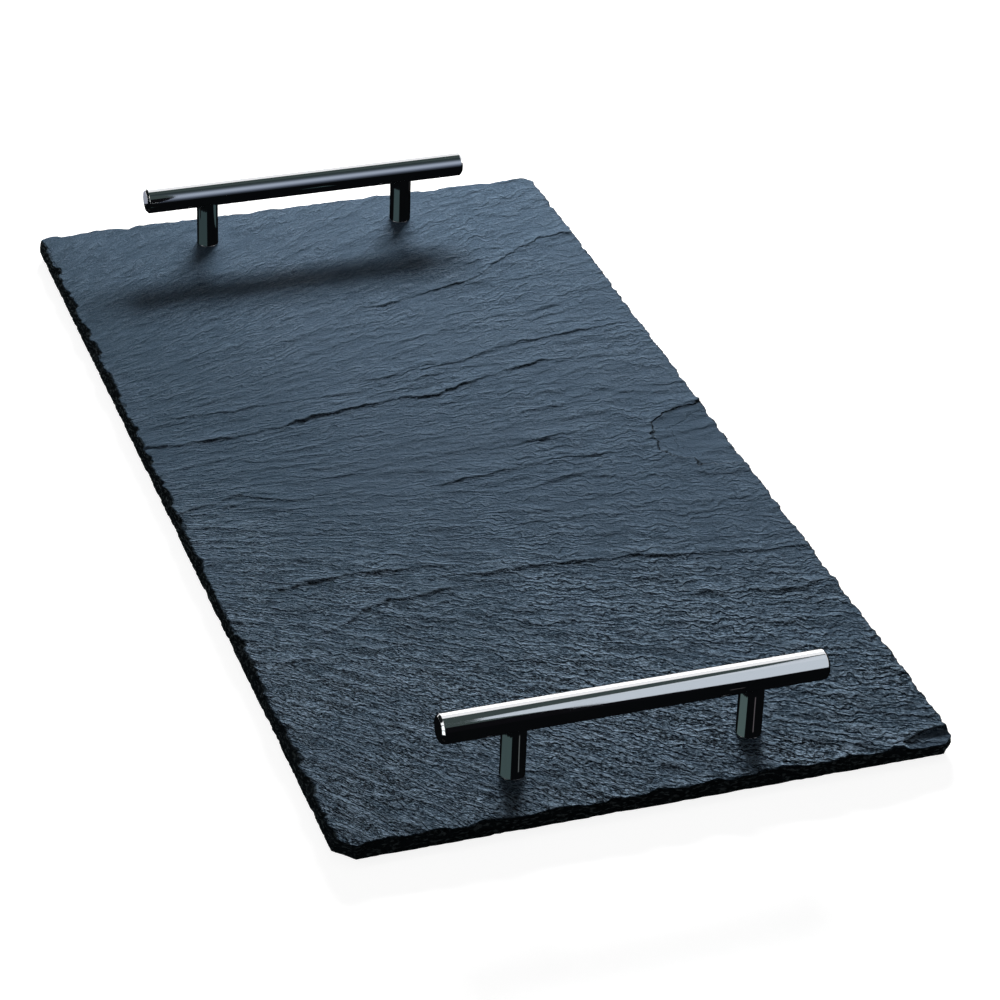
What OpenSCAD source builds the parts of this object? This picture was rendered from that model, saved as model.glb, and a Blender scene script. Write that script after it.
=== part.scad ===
// Slate serving board with a round bar handle on two posts at each end.
// Millimetres, +Z up. The origin is on the table, under the middle of the slate.
// X runs across the board, and +Y runs along it to the rear handle.

/* [Slate] */
// Width of the slate, left to right
slate_w = 250; // [200:5:320]
// Length of the slate, front to rear
slate_l = 500; // [400:10:700]
// Thickness of the slate under the handle posts
slate_t = 6.5; // [5.5:0.5:9]
// How far the dressed edge leans in between the underside and the top
edge_lean = 2.2; // [1:0.2:3]
// Deepest of the small chips along the dressed edge
edge_chip = 1.2; // [0.4:0.2:1.8]
// Deepest of the long flakes that the dressing took off the sides
edge_flake = 3.6; // [1:0.2:5]
// Height of the split layers that end as ledges on the top
ledge_h = 0.8; // [0.2:0.1:1.2]
// Height of the ripples that the splitting left along the grain
ripple_h = 0.35; // [0.05:0.05:0.6]
// Depth of the shell-shaped scoops at the right-hand edge
scoop_depth = 0.9; // [0.3:0.1:1.2]
// Size of the broken front left corner
front_left_cut = 8; // [2:1:12]
// Size of the broken front right corner
front_right_cut = 6; // [2:1:12]
// Size of the broken rear right corner
rear_right_cut = 5; // [2:1:12]
// Size of the broken rear left corner
rear_left_cut = 4; // [2:1:12]

/* [Handles] */
// Diameter of each handle bar
bar_d = 12; // [11:0.5:14]
// Distance between the centres of a handle's two posts
post_pitch = 96; // [64:32:160]
// How far the bar runs past each post's centre
bar_overhang = 30; // [15:5:50]
// Chamfer round the ends of the bar
bar_chamfer = 1.5; // [0.5:0.5:3]
// Diameter of each post
post_d = 10; // [8:0.5:11]
// Height of the top of the bar above the slate
handle_h = 32; // [29:1:45]
// Distance from the end of the slate to the handle's centre line
handle_inset = 27; // [22:1:60]

/* [Fixings] */
// Thread diameter of the screws and studs
thread_d = 4; // [3:0.5:5]
// Depth that each screw reaches into its post
screw_bite = 11; // [8:0.5:12]
// Depth that each stud reaches into its post, and into its bar
stud_bite = 5; // [4:0.5:6]
// Diameter of the screw head
head_d = 8; // [7:0.5:9]
// Height of the screw head
head_h = 2.4; // [1.8:0.1:2.6]
// Diameter of the washer
washer_d = 9; // [8.5:0.5:12]
// Thickness of the washer
washer_t = 0.8; // [0.5:0.1:1]
// Depth of the recess that hides the washer in the underside
recess_depth = 2.5; // [2:0.25:3]

/* [Feet] */
// Diameter of each foot
foot_d = 14; // [10:1:20]
// Height of each foot
foot_h = 3; // [2:0.5:5]
// Distance from the slate's two edges to the centre of a foot
foot_inset = 22; // [18:1:30]

/* [Hidden] */
ends = ["front", "rear"];
sides = ["left", "right"];
corners = [for (end = ends, side = sides) str(end, "_", side)];
corner_pieces = ["post", "post_stud", "screw", "washer", "foot"];

// Clearances of the fits
overrun = 1;
thread_clear = 0.02;
saddle_clear = 0.02;
slate_hole_clear = 0.25;
washer_hole_clear = 0.15;
recess_clear = 1;
stud_hole_spare = 0.5;

// Small details of the metal and the feet
post_chamfer = 0.4;
head_round = 1.1;
cross_w = 1;
cross_l = 4.4;
cross_depth = 1.5;
foot_round = 0.8;
foot_draft = 0.5;
round_steps = 6;
round_fn = 72;

// Heights above the table
slate_z = foot_h;
seat_z = slate_z + slate_t;
axis_z = seat_z + handle_h - bar_d / 2;
bar_bottom_z = axis_z - bar_d / 2;
recess_z = slate_z + recess_depth;
washer_z = recess_z - washer_t;

// Places across and along the board
bar_l = post_pitch + 2 * bar_overhang;
post_x = post_pitch / 2;
post_y = slate_l / 2 - handle_inset;
foot_x = slate_w / 2 - foot_inset;
foot_y = slate_l / 2 - foot_inset;

// The slate's skin is a grid of cells inside a rim, and rings of points down the edge
cell_w = 11.5;
cell_l = 6.2;
rim_spare = 1.8;
rim_w = edge_lean + edge_chip + edge_flake + rim_spare;
cells_x = round((slate_w - 2 * rim_w) / cell_w);
cells_y = round((slate_l - 2 * rim_w) / cell_l);
grid_w = (slate_w - 2 * rim_w) / cells_x;
grid_l = (slate_l - 2 * rim_w) / cells_y;
jitter_share = 0.22;

// The rings from the underside to the top: height and lean as shares of the whole
height_shares = [0, 0.28, 0.68, 1];
lean_shares = [0.16, 0, 0.4, 1];
arris_drop = 0.35;
chip_run = 7;
flake_run = 34;
flake_fade = 40;

// Wavelengths and heights of the uneven top
swell_run_x = 95;
swell_run_y = 70;
swell_h = 0.3;
grain_run = 52;
grain_pitch = 8.5;
// Where along the board the grain runs straight across, and how it fans out from there
grain_level_share = 0.08;
grain_fan_shares = [0.43, -0.125];

// A post stands on a flat seat, wide enough that no sloping cell reaches under it
seat_r = post_d / 2 + norm([grid_w, grid_l]);
seat_fade = 14;

// Ledges: the run of each broken layer, as shares of half the width and half the length,
// with the height of each as a share of ledge_h
ledge_ramp = 20;
ledge_riser = 4;
ledge_fade = 16;
ledge_runs_share = [
    [[0.12, 0.57], [0.35, 0.6], [0.54, 0.635], [0.75, 0.715], [0.94, 0.75]],
    [[-0.06, 0.305], [0.27, 0.33], [0.5, 0.36], [0.75, 0.38], [0.9, 0.39]],
    [[-0.8, 0.265], [-0.43, 0.27], [-0.16, 0.262], [0.1, 0.286]],
    [[-0.97, 0.182], [-0.56, 0.182], [-0.23, 0.218], [0.1, 0.225], [0.37, 0.27], [0.52, 0.286]],
    [[0.19, 0.02], [0.52, 0.03]],
    [[-0.97, -0.04], [-0.74, -0.008], [-0.58, -0.054], [-0.45, -0.05]],
    [[-0.04, -0.066], [0.2, -0.052], [0.35, -0.042], [0.52, -0.05]],
    [[-0.37, -0.336], [0.02, -0.354], [0.44, -0.375], [0.81, -0.406], [0.95, -0.42]],
    [[-0.66, -0.427], [-0.5, -0.39], [-0.27, -0.38]],
    [[-0.85, -0.51], [-0.68, -0.5], [-0.6, -0.51]],
    [[0.56, -0.51], [0.81, -0.54], [0.95, -0.53]]
];
ledge_height_shares = [0.9, 0.7, 0.6, 1, 0.5, 0.6, 0.7, 1, 0.7, 0.6, 0.6];

// Scoops: centre and radii as shares of half the width and half the length,
// and the depth as a share of scoop_depth
scoop_shares = [
    [1, -0.03, 0.27, 0.11, 1],
    [1.02, -0.99, 0.17, 0.05, 0.8]
];

// Repeatable random values on a square lattice, and smooth noise between them
noise_seed = 11;
noise_n = 64;
noise_values = rands(-1, 1, noise_n * noise_n, noise_seed);
function wrap(i) = ((i % noise_n) + noise_n) % noise_n;
function lattice(i, j) = noise_values[wrap(i) * noise_n + wrap(j)];
function ease(t) = let (s = min(1, max(0, t))) s * s * (3 - 2 * s);
function mix(a, b, t) = a + (b - a) * t;
function noise(x, y) =
    let (i = floor(x), j = floor(y), u = ease(x - i), v = ease(y - j))
    mix(
        mix(lattice(i, j), lattice(i + 1, j), u),
        mix(lattice(i, j + 1), lattice(i + 1, j + 1), u),
        v
    );

// How much relief is left at a place: none on the seats of the posts
function off_seat(x, y) =
    let (away = norm([abs(x) - post_x, abs(y) - post_y]))
    ease((away - seat_r) / seat_fade);

// The grain fans out: its lines are level near the middle and turn up or down beyond it
function grain_line(x, y) =
    let (share = 2 * x / slate_w, level = grain_level_share * slate_l / 2)
    (y - level) * exp(-share * (grain_fan_shares[0] + grain_fan_shares[1] * share));

// One ledge: the layer thickens towards the viewer's side and then breaks off
function ledge(run, x, y) =
    let (
        shares = [for (p = run) [p[0] * slate_w / 2, p[1] * slate_l / 2]],
        first = shares[0][0],
        last = shares[len(shares) - 1][0],
        behind = y - lookup(x, shares),
        height = behind > 0 ? 1 - behind / ledge_ramp : 1 + behind / ledge_riser,
        strength = ease(min(x - first, last - x) / ledge_fade + 1)
    )
    max(0, height) * strength;

function scoop(s, x, y) =
    let (
        across = (2 * x / slate_w - s[0]) / s[2],
        along = (2 * y / slate_l - s[1]) / s[3],
        q = across * across + along * along
    )
    q < 1 ? s[4] * sqrt(1 - q) : 0;

function total(values, i = 0) = i < len(values) ? values[i] + total(values, i + 1) : 0;

// Height of the top above or below the seats
function relief(x, y) =
    let (
        swell = swell_h * noise(x / swell_run_x, y / swell_run_y),
        ripple = ripple_h * noise(x / grain_run, grain_line(x, y) / grain_pitch),
        ledges = ledge_h * max([
            for (k = [0 : len(ledge_runs_share) - 1])
                ledge_height_shares[k] * ledge(ledge_runs_share[k], x, y)
        ]),
        scoops = scoop_depth * total([for (s = scoop_shares) scoop(s, x, y)])
    )
    off_seat(x, y) * (swell + ripple + ledges) - scoops;

// One side of the outline, counter-clockwise: its corner first, then its other points.
// Each entry is a place, the way in from there, the run along the edge and the distance
// to the nearest corner. A cut at either end draws the points in along the broken corner.
function side(start, along, inward, length, count, cut_start, cut_end, run) = [
    for (i = [0 : count - 1])
        let (
            d = length * i / count,
            in_start = max(0, cut_start - d) / 2,
            in_end = max(0, cut_end - (length - d)) / 2,
            place = start + along * (d + in_start - in_end) + inward * (in_start + in_end),
            way_in = i == 0 ? (inward + along) / norm(inward + along) : inward
        )
        [place, way_in, run + d, min(d, length - d)]
];

half = [slate_w / 2, slate_l / 2];
edge_places = concat(
    side([-half.x, -half.y], [1, 0], [0, 1], slate_w, 2 * cells_x, front_left_cut, front_right_cut, 0),
    side([half.x, -half.y], [0, 1], [-1, 0], slate_l, cells_y, front_right_cut, rear_right_cut, slate_w),
    side([half.x, half.y], [-1, 0], [0, -1], slate_w, 2 * cells_x, rear_right_cut, rear_left_cut, slate_w + slate_l),
    side([-half.x, half.y], [0, -1], [1, 0], slate_l, cells_y, rear_left_cut, front_left_cut, 2 * slate_w + slate_l)
);
ring_n = len(edge_places);

// Chips are small bites out of each ring. Flakes are long ones that lean in to the top.
function chip(k, run) = edge_chip * max(0, noise(run / chip_run, k * noise_n / len(height_shares)));
function flake(run, away) =
    edge_flake * sqrt(max(0, noise(run / flake_run, noise_n / 2))) * ease(away / flake_fade);

function edge_xy(k, e) =
    e[0] + e[1] * (lean_shares[k] * (edge_lean + flake(e[2], e[3])) + chip(k, e[2]));
function edge_point(k, e) =
    let (
        top = len(height_shares) - 1,
        top_xy = edge_xy(top, e),
        top_z = slate_t + relief(top_xy.x, top_xy.y) - arris_drop,
        xy = edge_xy(k, e)
    )
    [xy.x, xy.y, height_shares[k] * top_z];

// A grid point is shaken a little off its square place, except near a seat and on the rim
function grid_point(i, j) =
    let (
        x = -half.x + rim_w + i * grid_w,
        y = -half.y + rim_w + j * grid_l,
        inside = i > 0 && i < cells_x && j > 0 && j < cells_y ? 1 : 0,
        shake = inside * jitter_share * off_seat(x, y),
        px = x + shake * grid_w * lattice(i, j),
        py = y + shake * grid_l * lattice(j, i)
    )
    [px, py, slate_t + relief(px, py)];

slate_points = concat(
    [for (k = [0 : len(height_shares) - 1], e = edge_places) edge_point(k, e)],
    [for (j = [0 : cells_y], i = [0 : cells_x]) grid_point(i, j)]
);

// Numbers of the points: on ring k, on the top ring, and in the grid
function ring(k, i) = k * ring_n + i % ring_n;
function top_ring(i) = ring(len(height_shares) - 1, i + ring_n);
function grid(i, j) = len(height_shares) * ring_n + j * (cells_x + 1) + i;

// Where each side starts on the ring
right_start = 2 * cells_x;
rear_start = right_start + cells_y;
left_start = rear_start + 2 * cells_x;

// Faces, each clockwise seen from outside
function pair(a, b, c, d) = [[a, d, c], [a, c, b]];
function fan(outer, inner_a, inner_b) = [
    [outer[0], inner_a, outer[1]],
    [outer[1], inner_a, inner_b],
    [outer[1], inner_b, outer[2]]
];
underside = [[for (i = [0 : ring_n - 1]) ring(0, i)]];
edge_faces = [
    for (k = [0 : len(height_shares) - 2], i = [0 : ring_n - 1])
        each pair(ring(k, i), ring(k, i + 1), ring(k + 1, i + 1), ring(k + 1, i))
];
end_rims = [
    for (i = [0 : cells_x - 1])
        each concat(
            fan([for (n = [0 : 2]) top_ring(2 * i + n)], grid(i, 0), grid(i + 1, 0)),
            fan(
                [for (n = [0 : 2]) top_ring(rear_start + 2 * i + n)],
                grid(cells_x - i, cells_y),
                grid(cells_x - i - 1, cells_y)
            )
        )
];
side_rims = [
    for (j = [0 : cells_y - 1])
        each concat(
            pair(
                top_ring(right_start + j),
                top_ring(right_start + j + 1),
                grid(cells_x, j + 1),
                grid(cells_x, j)
            ),
            pair(
                top_ring(left_start + j),
                top_ring(left_start + j + 1),
                grid(0, cells_y - j - 1),
                grid(0, cells_y - j)
            )
        )
];
top_faces = [
    for (j = [0 : cells_y - 1], i = [0 : cells_x - 1])
        each (i + j) % 2 == 0
            ? pair(grid(i, j), grid(i + 1, j), grid(i + 1, j + 1), grid(i, j + 1))
            : pair(grid(i + 1, j), grid(i + 1, j + 1), grid(i, j + 1), grid(i, j))
];
slate_faces = concat(underside, edge_faces, end_rims, side_rims, top_faces);

// Slate

module slate() {
    color([0.22, 0.26, 0.31])
        difference() {
            translate([0, 0, slate_z])
                polyhedron(points = slate_points, faces = slate_faces);
            for (x = [-post_x, post_x], y = [-post_y, post_y])
                translate([x, y, 0]) {
                    cylinder(d = thread_d + 2 * slate_hole_clear, h = seat_z + overrun, $fn = round_fn);
                    cylinder(d = washer_d + 2 * recess_clear, h = recess_z, $fn = round_fn);
                }
        }
}

// Handle bars and posts

// A bar is a turned rod with chamfered ends, and a blind hole in its underside for each stud
module handle_bar(end) {
    color([0.72, 0.73, 0.75])
        translate([0, end_sign(end) * post_y, 0])
            difference() {
                translate([-bar_l / 2, 0, axis_z])
                    rotate([0, 90, 0])
                        rotate_extrude($fn = round_fn)
                            polygon([
                                [0, 0],
                                [bar_d / 2 - bar_chamfer, 0],
                                [bar_d / 2, bar_chamfer],
                                [bar_d / 2, bar_l - bar_chamfer],
                                [bar_d / 2 - bar_chamfer, bar_l],
                                [0, bar_l]
                            ]);
                for (x = [-post_x, post_x])
                    translate([x, 0, bar_bottom_z - overrun])
                        cylinder(
                            r = thread_d / 2 + thread_clear,
                            h = overrun + stud_bite + stud_hole_spare,
                            $fn = round_fn
                        );
            }
}

// A post is coped to the bar at its top, and threaded right through for its screw and stud
module post(end, side) {
    at_post(end, side)
        color([0.66, 0.67, 0.69])
            difference() {
                translate([0, 0, seat_z])
                    rotate_extrude($fn = round_fn)
                        polygon([
                            [0, 0],
                            [post_d / 2 - post_chamfer, 0],
                            [post_d / 2, post_chamfer],
                            [post_d / 2, axis_z - seat_z],
                            [0, axis_z - seat_z]
                        ]);
                translate([-post_d, 0, axis_z])
                    rotate([0, 90, 0])
                        cylinder(r = bar_d / 2 + saddle_clear, h = 2 * post_d, $fn = round_fn);
                translate([0, 0, seat_z - overrun])
                    cylinder(r = thread_d / 2 + thread_clear, h = axis_z - seat_z, $fn = round_fn);
            }
}

module post_stud(end, side) {
    at_post(end, side)
        color([0.5, 0.5, 0.52])
            translate([0, 0, bar_bottom_z - stud_bite])
                cylinder(d = thread_d, h = 2 * stud_bite, $fn = round_fn);
}

// Fixings in the underside

// A pan head screw with a cross recess, its tip up in the post
module screw(end, side) {
    at_post(end, side)
        color([0.6, 0.6, 0.62])
            difference() {
                union() {
                    translate([0, 0, washer_z - head_h])
                        rotate_extrude($fn = round_fn)
                            polygon(concat(
                                [[0, 0]],
                                rounded_corner(head_d / 2, head_round),
                                [[head_d / 2, head_h], [0, head_h]]
                            ));
                    translate([0, 0, washer_z - head_h / 2])
                        cylinder(d = thread_d, h = head_h / 2 + seat_z + screw_bite - washer_z, $fn = round_fn);
                }
                for (turn = [0, 90])
                    translate([0, 0, washer_z - head_h])
                        rotate([0, 0, turn])
                            cube([cross_l, cross_w, 2 * cross_depth], center = true);
            }
}

module washer(end, side) {
    at_post(end, side)
        color([0.7, 0.7, 0.72])
            translate([0, 0, washer_z])
                difference() {
                    cylinder(d = washer_d, h = washer_t, $fn = round_fn);
                    translate([0, 0, -overrun])
                        cylinder(
                            d = thread_d + 2 * washer_hole_clear,
                            h = washer_t + 2 * overrun,
                            $fn = round_fn
                        );
                }
}

// A foot is a soft button that tapers a little down to a rounded rim
module foot(end, side) {
    color([0.08, 0.08, 0.08])
        translate([side_sign(side) * foot_x, end_sign(end) * foot_y, 0])
            rotate_extrude($fn = round_fn)
                polygon(concat(
                    [[0, 0]],
                    rounded_corner(foot_d / 2 - foot_draft, foot_round),
                    [[foot_d / 2, foot_h], [0, foot_h]]
                ));
}

// Helpers shared by the pieces

function end_sign(end) = end == "front" ? -1 : 1;
function side_sign(side) = side == "left" ? -1 : 1;

module at_post(end, side) {
    translate([side_sign(side) * post_x, end_sign(end) * post_y, 0])
        children();
}

// Points of a rounded lower corner at radius r, from the flat face up to the side
function rounded_corner(r, rounding) = [
    for (i = [0 : round_steps])
        let (turn = 90 * i / round_steps)
        [r - rounding * (1 - sin(turn)), rounding * (1 - cos(turn))]
];

slate();
for (end = ends)
    handle_bar(end);
for (end = ends, side = sides) {
    post(end, side);
    post_stud(end, side);
    screw(end, side);
    washer(end, side);
    foot(end, side);
}
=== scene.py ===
import math
from functools import partial

import bmesh
import bpy
import numpy as np
from mathutils import Matrix, Vector


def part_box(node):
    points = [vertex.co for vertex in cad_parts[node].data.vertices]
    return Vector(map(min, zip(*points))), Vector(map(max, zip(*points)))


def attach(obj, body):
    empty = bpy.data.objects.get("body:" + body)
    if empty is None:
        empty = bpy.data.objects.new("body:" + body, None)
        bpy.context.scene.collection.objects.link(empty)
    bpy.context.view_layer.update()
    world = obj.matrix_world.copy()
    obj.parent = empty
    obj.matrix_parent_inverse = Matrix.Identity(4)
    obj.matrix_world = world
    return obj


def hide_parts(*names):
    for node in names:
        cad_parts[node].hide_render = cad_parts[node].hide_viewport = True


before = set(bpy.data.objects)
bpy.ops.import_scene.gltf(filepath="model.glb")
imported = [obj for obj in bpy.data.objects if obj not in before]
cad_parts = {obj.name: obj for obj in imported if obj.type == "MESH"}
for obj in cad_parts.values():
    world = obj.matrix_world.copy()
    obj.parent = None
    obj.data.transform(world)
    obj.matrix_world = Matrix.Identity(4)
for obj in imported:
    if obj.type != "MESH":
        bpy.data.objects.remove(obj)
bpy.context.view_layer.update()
mm = 0.001
print("frame loaded:", len(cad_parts), "pieces")


# Places that everything hangs on, in millimetres, read from the frame

def boxInMm(node):
    return [np.array(corner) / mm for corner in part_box(node)]


def middleOf(low, high):
    # the middle of a box in plan, at height 0
    return (low + high) / 2 * (1, 1, 0)


slateLow, slateHigh = boxInMm("slate")
postLow, postHigh = boxInMm("front_left_post")
barLow, barHigh = boxInMm("front_handle_bar")
underZ = slateLow[2]
seatZ = postLow[2]
postX = -(postLow[0] + postHigh[0]) / 2
postY = -(postLow[1] + postHigh[1]) / 2
slateWidth = slateHigh[0] - slateLow[0]
slateLength = slateHigh[1] - slateLow[1]
barRadius = (barHigh[2] - barLow[2]) / 2
barAxisZ = (barLow[2] + barHigh[2]) / 2
ends = {"front": -1, "rear": 1}
sides = {"left": -1, "right": 1}


# Smooth noise for the shapes

def ease(t):
    # runs from 0 to 1 with level ends: 3t^2 - 2t^3
    t = np.clip(t, 0, 1)
    return t * t * (3 - 2 * t)


def noise(seed, x, y):
    # gradient noise: each lattice corner pushes along its own random direction,
    # and the four pushes round a point are eased into one value near -1 to 1
    period, stretch = 256, 1.5
    turn = np.random.default_rng(seed).uniform(0, 2 * np.pi, (period, period))
    i, j = np.floor(x).astype(int), np.floor(y).astype(int)
    u, v = x - i, y - j

    def push(di, dj):
        t = turn[(i + di) % period, (j + dj) % period]
        return np.cos(t) * (u - di) + np.sin(t) * (v - dj)

    low = push(0, 0) * (1 - ease(u)) + push(1, 0) * ease(u)
    high = push(0, 1) * (1 - ease(u)) + push(1, 1) * ease(u)
    return stretch * (low * (1 - ease(v)) + high * ease(v))


def layeredNoise(seed, x, y, layers, gain=0.5):
    # a sum of noises, each twice as fine as the one before and lower by the gain
    return sum(noise(seed + k, x * 2 ** k, y * 2 ** k) * gain ** k for k in range(layers))


def runningMean(values, width, axis, mode):
    # the mean over width values to each side, as a difference of running sums
    padding = [(0, 0)] * values.ndim
    padding[axis] = (width, width)
    sums = np.cumsum(np.pad(values, padding, mode=mode), axis=axis)
    span, count = 2 * width, sums.shape[axis]
    return (sums.take(range(span, count), axis) - sums.take(range(count - span), axis)) / span


# Meshes from arrays of points

def linkPiece(name, mesh, material):
    mesh.materials.append(material)
    piece = bpy.data.objects.new(name, mesh)
    bpy.context.scene.collection.objects.link(piece)
    return piece


def pieceFromArrays(name, points, faces, material, smoothAngle=40):
    mesh = bpy.data.meshes.new(name)
    mesh.from_pydata(points * mm, [], faces)
    tidy = bmesh.new()
    tidy.from_mesh(mesh)
    bmesh.ops.recalc_face_normals(tidy, faces=tidy.faces)
    tidy.to_mesh(mesh)
    tidy.free()
    mesh.polygons.foreach_set("use_smooth", np.ones(len(mesh.polygons), bool))
    mesh.set_sharp_from_angle(angle=math.radians(smoothAngle))
    return linkPiece(name, mesh, material)


def gridNumbers(start, rows, columns):
    return start + np.arange(rows * columns).reshape(rows, columns)


def borderOf(numbers):
    # the point numbers once round the border of a grid
    return np.concatenate([numbers[0, :-1], numbers[:-1, -1], numbers[-1, :0:-1], numbers[:0:-1, 0]])


def quadsOf(numbers, wrapRows=False, wrapColumns=False):
    # each cell of a grid of point numbers becomes one four-sided face
    if wrapRows:
        numbers = np.vstack([numbers, numbers[:1]])
    if wrapColumns:
        numbers = np.hstack([numbers, numbers[:, :1]])
    cells = [numbers[:-1, :-1], numbers[:-1, 1:], numbers[1:, 1:], numbers[1:, :-1]]
    return np.stack(cells, axis=-1).reshape(-1, 4)


def turnedSkin(name, rows, material, closed=False, smoothAngle=40):
    # rows are rings of points round an axis; closed joins the last ring to the first,
    # and otherwise a point in the middle of each end ring shuts the shape
    rings, around = rows.shape[:2]
    numbers = gridNumbers(0, rings, around)
    points = rows.reshape(-1, 3)
    faces = quadsOf(numbers, wrapRows=closed, wrapColumns=True).tolist()
    if not closed:
        points = np.vstack([points, rows[0].mean(axis=0), rows[-1].mean(axis=0)])
        for ring, pole in ((numbers[0], len(points) - 2), (numbers[-1], len(points) - 1)):
            faces += np.stack([ring, np.roll(ring, -1), np.full(around, pole)], axis=-1).tolist()
    return pieceFromArrays(name, points, faces, material, smoothAngle)


def fullTurn(around):
    return np.linspace(0, 2 * np.pi, around, endpoint=False)


def aroundZ(radius, t, height):
    # x = r cos t, y = r sin t
    return np.stack([radius * np.cos(t), radius * np.sin(t), height + 0 * t], axis=-1)


def revolve(radius, height, around):
    # rings of a profile turned about Z
    return aroundZ(radius[:, None], fullTurn(around), height[:, None])


def toward(point, other, reach):
    # the place one reach away from a point, on the way to another
    return point + reach * (other - point) / np.linalg.norm(other - point)


def softProfile(corners, rounding, steps=5):
    # straight runs with every inner corner bent along a quadratic curve that starts and
    # ends one rounding away from it, and a support point a little beyond each end
    corners = [np.array(c, float) for c in corners]
    support = 1.6 * rounding
    s = np.linspace(0, 1, steps)[:, None]
    points = [corners[0]]
    for before, corner, after in zip(corners, corners[1:], corners[2:]):
        start, end = toward(corner, before, rounding), toward(corner, after, rounding)
        points.append(toward(corner, before, support))
        points.extend((1 - s) ** 2 * start + 2 * s * (1 - s) * corner + s ** 2 * end)
        points.append(toward(corner, after, support))
    points.append(corners[-1])
    return np.array(points)


# Shader helpers

def connect(tree, node, inputs):
    # a socket is linked, and any other value is set on the node's own input
    for key, value in inputs.items():
        if isinstance(value, bpy.types.NodeSocket):
            tree.links.new(value, node.inputs[key])
        else:
            node.inputs[key].default_value = value


def addNode(tree, kind, inputs=None, **settings):
    node = tree.nodes.new(kind)
    for key, value in settings.items():
        setattr(node, key, value)
    connect(tree, node, inputs or {})
    return node


def newMaterial(name):
    material = bpy.data.materials.new(name)
    material.use_nodes = True
    tree = material.node_tree
    return material, tree, tree.nodes["Principled BSDF"]


def newGroup(name, numbers, outputs):
    # a group that takes a vector and numbers, each with its usual value
    tree = bpy.data.node_groups.new(name, "ShaderNodeTree")
    tree.interface.new_socket("Vector", in_out="INPUT", socket_type="NodeSocketVector")
    for label, value in numbers.items():
        socket = tree.interface.new_socket(label, in_out="INPUT", socket_type="NodeSocketFloat")
        socket.default_value = value
    for label in outputs:
        tree.interface.new_socket(label, in_out="OUTPUT", socket_type="NodeSocketFloat")
    return tree, tree.nodes.new("NodeGroupInput").outputs, tree.nodes.new("NodeGroupOutput")


def calculate(tree, operation, first, second=0.0):
    return addNode(tree, "ShaderNodeMath", {0: first, 1: second}, operation=operation).outputs[0]


def ranged(tree, value, low, high, toLow=0.0, toHigh=1.0, **settings):
    # a value between low and high becomes one between toLow and toHigh, and stays within them
    inputs = {"Value": value, "From Min": low, "From Max": high, "To Min": toLow, "To Max": toHigh}
    return addNode(tree, "ShaderNodeMapRange", inputs, **settings).outputs[0]


def mixNumber(tree, share, first, second):
    return addNode(tree, "ShaderNodeMix", {0: share, 2: first, 3: second}).outputs[0]


def mixColour(tree, share, first, second):
    inputs = {0: share, 6: first, 7: second}
    return addNode(tree, "ShaderNodeMix", inputs, data_type="RGBA").outputs[2]


def separated(tree, vector):
    return addNode(tree, "ShaderNodeSeparateXYZ", {"Vector": vector}).outputs


def stretched(tree, place, factors):
    return addNode(tree, "ShaderNodeVectorMath", {0: place, 1: factors}, operation="MULTIPLY").outputs[0]


def cloudsAt(tree, place, scale, detail, roughness=0.5, warp=0.0):
    inputs = {
        "Vector": place, "Scale": scale, "Detail": detail, "Roughness": roughness, "Distortion": warp,
    }
    return addNode(tree, "ShaderNodeTexNoise", inputs).outputs["Fac"]


def bumped(tree, height, depth=1.0):
    # the normal over a height, with the depth in metres of a height of 1
    inputs = {"Height": height, "Distance": depth, "Strength": 1.0}
    return addNode(tree, "ShaderNodeBump", inputs).outputs["Normal"]


def objectPlace(tree):
    return addNode(tree, "ShaderNodeTexCoord").outputs["Object"]


def makeRidgeGroup():
    # fine ridges: noise stretched along the first axis of its coordinates
    tree, entry, out = newGroup(
        "fineRidges", {"Along": 100.0, "Across": 600.0, "Detail": 4.0, "Warp": 0.6}, ["Height"]
    )
    factors = addNode(
        tree, "ShaderNodeCombineXYZ",
        {"X": entry["Along"], "Y": entry["Across"], "Z": entry["Across"]},
    ).outputs[0]
    place = stretched(tree, entry["Vector"], factors)
    height = cloudsAt(tree, place, 1.0, entry["Detail"], 0.62, entry["Warp"])
    connect(tree, out, {"Height": height})
    return tree


def makePatchGroup():
    # patches: broad soft noise pushed to a mask, for dust, bloom and finger marks
    tree, entry, out = newGroup("softPatches", {"Scale": 20.0, "Low": 0.4, "High": 0.65}, ["Mask"])
    clouds = cloudsAt(tree, entry["Vector"], entry["Scale"], 5.0)
    mask = ranged(tree, clouds, entry["Low"], entry["High"], interpolation_type="SMOOTHSTEP")
    connect(tree, out, {"Mask": mask})
    return tree


ridges = makeRidgeGroup()
patches = makePatchGroup()


def ridgesAt(tree, place, along, across, detail, warp=0.6):
    # along and across are the numbers of ridges in a metre
    inputs = {"Vector": place, "Along": along, "Across": across, "Detail": detail, "Warp": warp}
    return addNode(tree, "ShaderNodeGroup", inputs, node_tree=ridges).outputs["Height"]


def patchesAt(tree, place, scale, low=0.4, high=0.65):
    # scale is the number of patches in a metre, and the mask is 0 below low and 1 above high
    inputs = {"Vector": place, "Scale": scale, "Low": low, "High": high}
    return addNode(tree, "ShaderNodeGroup", inputs, node_tree=patches).outputs["Mask"]


def makeMetalMaterial(name, finish):
    # plated metal: soft patches of haze in the gloss, and fine marks in the surface
    material, tree, shader = newMaterial(name)
    place = objectPlace(tree)
    haze = patchesAt(tree, place, *finish["haze"])
    marks = ridgesAt(tree, place, *finish["marks"], 2.0)
    connect(tree, shader, {
        "Base Color": finish["colour"],
        "Metallic": 1.0,
        "Roughness": ranged(tree, haze, 0.0, 1.0, *finish["roughness"]),
        "Normal": bumped(tree, marks, finish["markDepth"]),
    })
    return material


# Slate finish: blue-black stone with painted shade in its grooves and hollows and a painted highlight on its
# crests, and paler on freshly broken edges

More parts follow.
